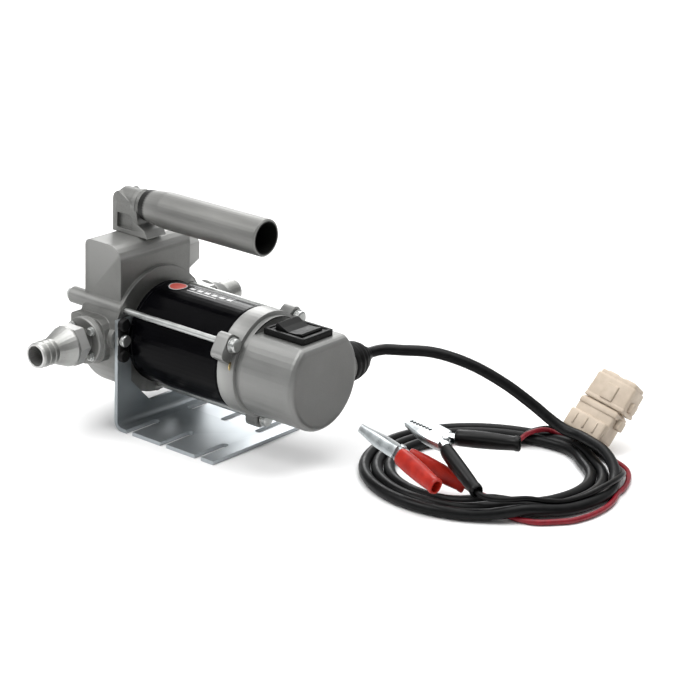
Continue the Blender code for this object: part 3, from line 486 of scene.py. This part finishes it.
def step_in(angle):
    """How many strands inwards the cable has moved at this angle, from 0 on the outer one to 2."""
    return ease((-315 - angle) / 30) + ease((-675 - angle) / 30)


def over_lead(angle, offset):
    """How far a strand is lifted where it lies across the red lead."""
    crossing, lift, spread = -84 + 8 * offset / STRAND, 0.0046, 15
    gap = (angle - crossing + 180) % 360 - 180
    return lift * math.exp(-(gap / spread) ** 2)


def main_coil(angle):
    """Offset and height of the cable round the coil: three strands side by side, the outer one first."""
    offset = STRAND * (1 - step_in(angle))
    return offset, GROUND + over_lead(angle, offset)


def cord_curve(name, points, diameter, mat, nodes):
    """A round cord on one open spline, in place of the CAD nodes."""
    curve = bpy.data.curves.new(name, "CURVE")
    curve.dimensions = "3D"
    curve.bevel_depth = diameter / 2
    curve.bevel_resolution = 5
    curve.use_fill_caps = True
    spline = curve.splines.new("POLY")
    spline.points.add(len(points) - 1)
    for point, place in zip(spline.points, points):
        point.co = (*place, 1.0)
    spline.use_smooth = True
    obj = bpy.data.objects.new(name, curve)
    bpy.context.scene.collection.objects.link(obj)
    curve.materials.append(mat)
    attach(obj, "pump")
    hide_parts(*nodes)
    return obj


def clip_frame(pivot, along, roll):
    """A clip's own axes: along its length, sideways from arm to arm, and along its pin."""
    axis = Vector(along).normalized()
    side = Vector((0, 0, 1)).cross(axis).normalized()
    side = Matrix.Rotation(math.radians(roll), 3, axis) @ side
    matrix = Matrix((axis, side, axis.cross(side))).transposed().to_4x4()
    matrix.translation = Vector(pivot)
    return matrix


# frame, arm that moves, finish and slot of each clip
CLIPS = {
    "red": (clip_frame((0.1848, 0.0014, 0.0335), (0.952, 0.073, -0.299), -19.7), "near",
            RED_VINYL, "red_vinyl"),
    "black": (clip_frame((0.2068, 0.0278, 0.0411), (0.986, 0.027, -0.162), 28.1), "far",
              BLACK_VINYL, "black_vinyl"),
}


def arm_point(along, out):
    """A place on the grip end of an arm, which stands off the clip's length by the spread."""
    return (along * math.cos(CLIP_SPREAD) - out * math.sin(CLIP_SPREAD),
            along * math.sin(CLIP_SPREAD) + out * math.cos(CLIP_SPREAD))


def inside_grip(colour, side):
    """The way of a lead through its grip, from the open end to the crimp near the pin."""
    matrix = CLIPS[colour][0]
    places = [arm_point(along, 0.0039) for along in (0.0535, 0.044, 0.034, 0.024)]
    return [matrix @ Vector((u, side * v, 0)) for u, v in places]


def build_cables():
    """The two-core cable with its coil, its two cores, and the red and the black clip lead."""
    landing = [coil_point(15, 0.0044, 0.0160), coil_point(4, 0.0068, 0.0126), coil_point(-6, 0.0086, 0.0086),
               coil_point(-16, STRAND, 0.0056)]
    route = [Vector(p) for p in MAIN_ROUTE] + landing + lap(-24, COIL_END, 7.5, main_coil)
    points, length = smooth_points(route, 0.006)
    cable = cord_curve("main_flex", points, CABLE_D, SHEATH, ["main_cable", "cable_coil"])
    cord_facts = [(cable, points, length, CABLE_D, "connector", "medium", "coiled")]

    end = COIL_END + 1080                   # the same place, counted from the last turn
    for colour, mat, start, shift in (("red", RED_WIRE, RED_CORE, -0.0021),
                                      ("black", BLACK_WIRE, BLACK_CORE, 0.0021)):
        inner = [coil_point(end - 1, -STRAND + shift, GROUND), coil_point(end - 8, -STRAND + shift, 0.0030)]
        inner += lap(end - 14, 74, 7, lambda a: (-STRAND + shift, 0.0024))
        inner += [coil_point(70, -0.0088 + shift, 0.0050), coil_point(66, -0.0050 + shift, 0.0102),
                  coil_point(62, 0.0000 + shift, 0.0124), coil_point(58, 0.0070 + shift, 0.0124),
                  coil_point(54, 0.0130 + shift, 0.0092)]
        wire = smooth_points([Vector(p) for p in start] + inner[::-1], 0.003)
        piece = cord_curve(f"{colour}_core_wire", wire[0], LEAD_D * 0.9, mat,
                           [f"{colour}_core"])
        cord_facts.append((piece, wire[0], wire[1], LEAD_D * 0.9, "object", "limp", "loose"))

    outside = [(0.3080, 0.098, 0.0024), (0.3105, 0.082, 0.0024), (0.3098, 0.065, 0.0024),
               (0.3055, 0.049, 0.0024)]
    under = [coil_point(-65, 0.0192, 0.0023), coil_point(-72, 0.0168, 0.0023),
             coil_point(-78, 0.0110, 0.0023), coil_point(-82, 0.0045, 0.0023),
             coil_point(-85, -0.0020, 0.0023), coil_point(-87, -0.0075, 0.0024),
             coil_point(-88, -0.0120, 0.0034)]
    red = [Vector(p) for p in RED_LEAD + outside] + under + [Vector(p) for p in RED_CLIP_LEAD[:0:-1]]
    red += inside_grip("red", 1)
    wire = smooth_points(red, 0.004)
    piece = cord_curve("red_lead_wire", wire[0], LEAD_D, RED_WIRE, ["red_lead", "red_clip_lead"])
    cord_facts.append((piece, wire[0], wire[1], LEAD_D, "fitting", "limp", "loose"))

    black = [Vector(p) for p in BLACK_LEAD] + [
        coil_point(26, 0.0150, 0.0026), coil_point(16, 0.0150, 0.0028), coil_point(8, 0.0151, 0.0044),
        coil_point(0, 0.0149, 0.0074), coil_point(-8, 0.0140, 0.0108), coil_point(-16, 0.0120, 0.0124),
        coil_point(-24, 0.0092, 0.0122), coil_point(-32, 0.0066, 0.0108), coil_point(-40, 0.0050, GROOVE),
        coil_point(-48, STRAND / 2, GROOVE),
        coil_point(-56, STRAND / 2, 0.0100), coil_point(-65, 0.0040, 0.0124)]
    black += [Vector(p) for p in BLACK_CLIP_LEAD[:0:-1]] + inside_grip("black", -1)
    wire = smooth_points(black, 0.004)
    piece = cord_curve("black_lead_wire", wire[0], LEAD_D, BLACK_WIRE,
                       ["black_lead", "black_clip_lead"])
    cord_facts.append((piece, wire[0], wire[1], LEAD_D, "fitting", "limp", "loose"))

    bm = bmesh.new()
    ahead = (points[-1] - points[-3]).normalized()
    shrink = [(0.0, -0.013), (0.0045, -0.013), (0.0048, -0.012), (0.0048, -0.002), (0.0046, 0.001),
              (0.0043, 0.004), (0.0020, 0.0046), (0.0, 0.0046)]
    add_turned(bm, shrink, points[-1], ahead, 24)
    make_piece("sheath_end_sleeve", bm, RUBBER)
    return cord_facts


# ---------------------------------------------------------------- gland
def build_gland():
    bm = bmesh.new()
    place = (GLAND_X, 0, AXIS_Z)
    profile = [(0.0, 0.0300), (0.0070, 0.0300), (0.0070, 0.0398), (0.0148, 0.0398), (0.0156, 0.0408),
               (0.0158, 0.0436), (0.0150, 0.0446), (0.0149, 0.0464), (0.0155, 0.0474), (0.0152, 0.0496),
               (0.0142, 0.0506), (0.0140, 0.0522), (0.0143, 0.0532), (0.0136, 0.0554), (0.0124, 0.0562),
               (0.0120, 0.0576), (0.0118, 0.0592), (0.0104, 0.0612), (0.0088, 0.0626), (0.0076, 0.0650),
               (0.0066, 0.0676), (0.0058, 0.0690), (0.0046, 0.0694), (0.0, 0.0694)]
    add_turned(bm, profile, place, (0, 1, 0), 48)
    boot = make_piece("gland_boot", bm, RUBBER, smooth=60)
    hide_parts("cable_gland")
    return boot


# ---------------------------------------------------------------- connector
def connector_matrix():
    width = Vector((0.98, -0.05, -0.17)).normalized()
    length = Vector((0.21, 0.57, 0.79))
    length = (length - width * length.dot(width)).normalized()
    matrix = Matrix((width, length, width.cross(length))).transposed().to_4x4()
    matrix.translation = Vector((0.2374, 0.1740, 0.0122))
    return matrix


def build_connector():
    matrix = connector_matrix()
    bm = bmesh.new()
    add_block(bm, (-0.0190, -0.0010, -0.0086), (0.0150, 0.0252, 0.0096), matrix, 0.0018)
    add_block(bm, (-0.0205, -0.0030, -0.0060), (0.0135, 0.0125, 0.0122), matrix, 0.0018)
    add_block(bm, (-0.0192, 0.0190, -0.0094), (0.0160, 0.0240, 0.0104), matrix, 0.0012)
    for x0, x1 in ((-0.0222, -0.0170), (0.0140, 0.0198)):
        add_block(bm, (x0, 0.0128, -0.0040), (x1, 0.0214, 0.0040), matrix, 0.0014)
    for x in (-0.0130, -0.0035, 0.0060):
        add_block(bm, (x - 0.0008, 0.0010, 0.0110), (x + 0.0008, 0.0100, 0.0130), matrix, 0.0005, 2)
    socket = make_piece("connector_socket_body", bm, NYLON, smooth=50)
    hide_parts("connector_socket")

    bm = bmesh.new()
    add_block(bm, (-0.0180, 0.0254, -0.0098), (0.0180, 0.0470, 0.0098), matrix, 0.0018)
    add_block(bm, (-0.0165, 0.0440, -0.0086), (0.0165, 0.0502, 0.0086), matrix, 0.0016)
    add_block(bm, (-0.0184, 0.0256, -0.0102), (0.0184, 0.0290, 0.0102), matrix, 0.0010)
    for side in (-1, 1):
        x0, x1 = sorted((side * 0.0165, side * 0.0214))
        add_block(bm, (x0, 0.0288, -0.0040), (x1, 0.0370, 0.0040), matrix, 0.0014)
        add_block(bm, (side * 0.0080 - 0.0050, 0.0480, -0.0056), (side * 0.0080 + 0.0050, 0.0512, 0.0056),
                  matrix, 0.0012)
    add_block(bm, (-0.0055, 0.0290, -0.0112), (0.0055, 0.0420, -0.0092), matrix, 0.0008)
    add_block(bm, (-0.0055, 0.0290, 0.0092), (0.0055, 0.0420, 0.0112), matrix, 0.0008)
    plug = make_piece("connector_plug_body", bm, NYLON, smooth=50)
    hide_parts("connector_plug")

    bm = bmesh.new()
    for colour_x in (-0.0089, -0.0030, 0.0049, 0.0099):
        start = matrix @ Vector((colour_x, 0.0012, 0))
        add_turned(bm, [(0.0, -0.0016), (0.0029, -0.0016), (0.0031, 0.0), (0.0031, 0.0022), (0.0, 0.0022)],
                   start, matrix.to_3x3() @ Vector((0, 1, 0)), 18)
    seals = make_piece("connector_seals", bm, RUBBER)
    return [socket, plug, seals]


# ---------------------------------------------------------------- battery clips
def add_jaw(bm, matrix, side, half_width):
    """One arm of a clip: a bent steel channel with teeth, open towards the other arm."""
    sheet, r = 0.0009, 0.0016               # thickness and bend radius
    stations = []
    for k in range(25):
        u = -JAW_LENGTH + 0.0345 * k / 24
        share = k / 24
        top = 0.0034 + 0.0050 * math.sin(math.pi * min(1.0, share * 1.05) * 0.62)
        tooth = 0.0013 if (k % 2 and 1 < k < 17) else 0.0
        width = half_width * (0.66 + 0.34 * ease(share * 1.6))
        stations.append(((u, 0.0004 + tooth), (u, top), width))
    for p in (0.0010, 0.0040, 0.0070, 0.0120, 0.0170):
        low = arm_point(p, 0.0008 if p > 0.002 else 0.0014)
        high = arm_point(p, 0.0060 if p < 0.008 else 0.0052)
        stations.append((low, high, half_width * (1.0 if p < 0.005 else 0.82)))
    loops = []
    for low, high, width in stations:
        du, dv = high[0] - low[0], high[1] - low[1]
        length = math.hypot(du, dv)
        n = (du / length, dv / length)

        def place(out, across):
            return matrix @ Vector((low[0] + n[0] * out, side * (low[1] + n[1] * out), across))

        loops.append([
            place(0, -width), place(length - r, -width), place(length - r * 0.3, -width + r * 0.3),
            place(length, -width + r), place(length, width - r), place(length - r * 0.3, width - r * 0.3),
            place(length - r, width), place(0, width), place(0, width - sheet),
            place(length - r, width - sheet),
            place(length - sheet, width - r), place(length - sheet, -width + r),
            place(length - r, -width + sheet), place(0, -width + sheet)])
    add_loft(bm, loops)


def add_sleeve(bm, matrix, side):
    """A moulded grip round one arm, rounded in section, with a lip and a hollow at its open end."""
    stations = [(0.0058, 0.0040, 0.0050, 0.0034), (0.0064, 0.0042, 0.0060, 0.0046),
                (0.0090, 0.0044, 0.0066, 0.0050), (0.0200, 0.0044, 0.0070, 0.0052),
                (0.0320, 0.0042, 0.0068, 0.0050), (0.0420, 0.0040, 0.0062, 0.0047),
                (0.0490, 0.0039, 0.0056, 0.0044), (0.0500, 0.0039, 0.0060, 0.0048),
                (0.0524, 0.0039, 0.0060, 0.0048), (0.0534, 0.0039, 0.0054, 0.0043),
                (0.0532, 0.0039, 0.0044, 0.0034), (0.0470, 0.0039, 0.0036, 0.0028)]
    loops = []
    for p, middle, half_wide, half_thick in stations:
        loop = []
        for k in range(24):
            turn = math.tau * k / 24
            c, s = math.cos(turn), math.sin(turn)
            wide = half_wide * math.copysign(abs(c) ** 0.78, c)
            thick = half_thick * math.copysign(abs(s) ** 0.78, s)
            u, v = arm_point(p, middle + thick)
            loop.append(matrix @ Vector((u, side * v, wide)))
        loops.append(loop)
    add_loft(bm, loops)


def build_clips():
    pieces = {}
    for colour, (matrix, moving, vinyl, slot_name) in CLIPS.items():
        for word, side, half_width in (("near", -1, 0.0050), ("far", 1, 0.0041)):
            body = f"{colour}_clip_arm" if word == moving else "pump"
            bm = bmesh.new()
            add_jaw(bm, matrix, side, half_width)
            jaw = make_piece(f"{colour}_{word}_jaw_plate", bm, CLIP_STEEL, body, 40)
            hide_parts(f"{colour}_clip_{word}_jaw")
            bm = bmesh.new()
            add_sleeve(bm, matrix, side)
            grip = make_piece(f"{colour}_{word}_grip", bm, vinyl, body, 60)
            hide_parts(f"{colour}_clip_{word}_sleeve")
            pieces.setdefault(colour, []).extend([jaw, grip])
        bm = bmesh.new()
        pin = [(0.0, -0.0064), (0.0022, -0.0064), (0.0027, -0.0058), (0.0027, -0.0051), (0.0014, -0.0050),
               (0.0014, 0.0050), (0.0027, 0.0051), (0.0027, 0.0058), (0.0022, 0.0064), (0.0, 0.0064)]
        across = matrix.to_3x3() @ Vector((0, 0, 1))
        add_turned(bm, pin, matrix.translation, across, 20)
        coil = []
        for k in range(73):
            turn = math.tau * k / 16
            coil.append(matrix @ Vector((0.0026 * math.cos(turn), 0.0026 * math.sin(turn),
                                         -0.0030 + 0.006 * k / 72)))
        add_tube(bm, coil, 0.00055, 6)
        pieces[colour].append(make_piece(f"{colour}_clip_pin", bm, CLIP_STEEL))
    return pieces


# ---------------------------------------------------------------- screws, print and other trim
def add_screw(bm, place, direction, head, height, washer=0.0, turn=0.3):
    """A hexagon head with a chamfer, on a washer if it has one."""
    if washer:
        add_turned(bm, [(0, 0), (washer, 0), (washer, 0.0009), (0, 0.0009)], place, direction, 24)
    base = 0.0009 if washer else 0.0
    add_turned(bm, [(0, base), (head, base), (head, base + height * 0.8), (head * 0.86, base + height),
                    (0, base + height)], place, direction, 6, turn)


def build_screws():
    bm = bmesh.new()
    for k in range(6):
        turn = math.radians(60 * k + 30)
        add_turned(bm, [(0, 0), (0.0034, 0), (0.0034, 0.0016), (0.0026, 0.0024), (0.0012, 0.0025),
                        (0.0012, 0.0012), (0, 0.0012)],
                   (-0.1025, 0.0318 * math.cos(turn), AXIS_Z + 0.0318 * math.sin(turn)), (-1, 0, 0), 20)
    make_piece("rear_cover_screws", bm, ZINC)
    for word, side in (("inlet", -1), ("outlet", 1)):
        bm = bmesh.new()
        for k in range(4):
            turn = math.radians(90 * k + 45)
            add_screw(bm, (PORT_X + 0.0143 * math.cos(turn), side * 0.0623, AXIS_Z + 0.0143 * math.sin(turn)),
                      (0, side, 0), 0.0031, 0.0022, 0.0036, 0.4 * k)
        make_piece(f"{word}_flange_screws", bm, ZINC)
        bm = bmesh.new()
        collar = [(0.0107, 0.0788), (0.0150, 0.0788), (0.0156, 0.0793), (0.0156, 0.0800), (0.0107, 0.0806)]
        add_turned(bm, [(r, y) for r, y in collar], (PORT_X, 0, AXIS_Z), (0, side, 0), 36)
        make_piece(f"{word}_nut_ring", bm, ZINC)
    bm = bmesh.new()
    for side in (-1, 1):
        for z in (AXIS_Z - 0.0095, AXIS_Z + 0.0155):
            add_turned(bm, [(0, 0), (0.0052, 0), (0.0052, 0.0030), (0.0044, 0.0042), (0, 0.0046)],
                       (-0.0491, side * BOLT_Y, z), (1, 0, 0), 24)
        add_block(bm, (-0.0492, side * BOLT_Y - 0.0052, AXIS_Z - 0.0095),
                  (-0.0468, side * BOLT_Y + 0.0052, AXIS_Z + 0.0155), None, 0.0010, 2)
    make_piece("bracket_pads", bm, RUBBER)
    bm = bmesh.new()
    add_screw(bm, (0.0556, -0.0372, AXIS_Z + 0.0070), (1, 0, 0), 0.0034, 0.0022, 0.0044)
    make_piece("earth_screw", bm, BRASS)
    bm = bmesh.new()
    for angle in (148.0, 38.0):
        turn = math.radians(angle)
        add_screw(bm, (-0.1090, ROD_CIRCLE * math.cos(turn), AXIS_Z + ROD_CIRCLE * math.sin(turn)),
                  (-1, 0, 0), 0.0044, 0.0030, 0.0052)
    make_piece("tie_rod_nuts", bm, ZINC)


def add_can_patch(bm, outline, lift=0.00012):
    """A thin printed shape on the motor can, from (x, degrees round the can) points."""
    radius = MOTOR_R + lift
    bm.faces.new([bm.verts.new((x, radius * math.cos(math.radians(angle)),
                                AXIS_Z + radius * math.sin(math.radians(angle)))) for x, angle in outline])


def build_print():
    """A plain generic badge: a red dot with a pale rim, and a few pale bars."""
    degrees = math.degrees(1 / MOTOR_R)
    bm = bmesh.new()
    centre_x, centre_a = -0.0325, 92.0

    def ring(radius, steps=28):
        return [(centre_x + radius * math.cos(math.tau * k / steps),
                 centre_a + radius * math.sin(math.tau * k / steps) * degrees) for k in range(steps)]

    outer, inner = ring(0.0074), ring(0.0066)
    for k in range(28):
        m = (k + 1) % 28
        add_can_patch(bm, [outer[k], outer[m], inner[m], inner[k]])
    bars = [(-0.0215 + 0.0075 * k, -0.0215 + 0.0075 * k + 0.0048, 86.5, 91.5) for k in range(6)]
    for x0, x1, a0, a1 in bars + [(-0.0215, 0.0208, 82.0, 83.2), (-0.0215, 0.0080, 94.5, 96.0)]:
        steps = 6
        for k in range(steps):
            b0, b1 = a0 + (a1 - a0) * k / steps, a0 + (a1 - a0) * (k + 1) / steps
            add_can_patch(bm, [(x0, b0), (x1, b0), (x1, b1), (x0, b1)])
    make_piece("badge_print", bm, PRINT_WHITE, smooth=60)
    bm = bmesh.new()
    dots = [ring(0.0066 * (k + 1) / 4) for k in range(4)]
    add_can_patch(bm, dots[0])
    for low, high in zip(dots, dots[1:]):
        for k in range(28):
            m = (k + 1) % 28
            add_can_patch(bm, [high[k], high[m], low[m], low[k]])
    make_piece("badge_dot", bm, PRINT_RED, smooth=60)


def build_trim():
    """Rolled ends of the motor can, the gasket behind it and the switch's frame."""
    bm = bmesh.new()
    place = (0, 0, AXIS_Z)
    for x in (-0.0452, 0.0408):
        add_turned(bm, [(0.0399, x - 0.0012), (0.0404, x - 0.0008), (0.0405, x), (0.0404, x + 0.0008),
                        (0.0399, x + 0.0012)], place, (1, 0, 0), 72)
    make_piece("can_rims", bm, PAINT)
    bm = bmesh.new()
    add_turned(bm, [(0.0374, 0.0638), (0.0379, 0.0638), (0.0379, 0.0645), (0.0374, 0.0645)], place,
               (1, 0, 0), 72)
    make_piece("cap_gasket", bm, RUBBER)
    bm = bmesh.new()
    low, high, half = SWITCH_Z - 0.0002, SWITCH_Z + 0.0009, 0.0014
    for side in (-1, 1):
        add_block(bm, (SWITCH_X - 0.0190, side * 0.0158 - half, low),
                  (SWITCH_X + 0.0190, side * 0.0158 + half, high), None, 0.0006, 2)
        add_block(bm, (SWITCH_X + side * 0.0178 - half, -0.0168, low),
                  (SWITCH_X + side * 0.0178 + half, 0.0168, high), None, 0.0006, 2)
    make_piece("switch_frame", bm, PLASTIC)


# ---------------------------------------------------------------- making
build_camera()
CORDS = build_cables()
BOOT = build_gland()
CONNECTOR = build_connector()
CLIP_PIECES = build_clips()
dress_cad()
build_screws()
build_print()
build_trim()
build_stage()
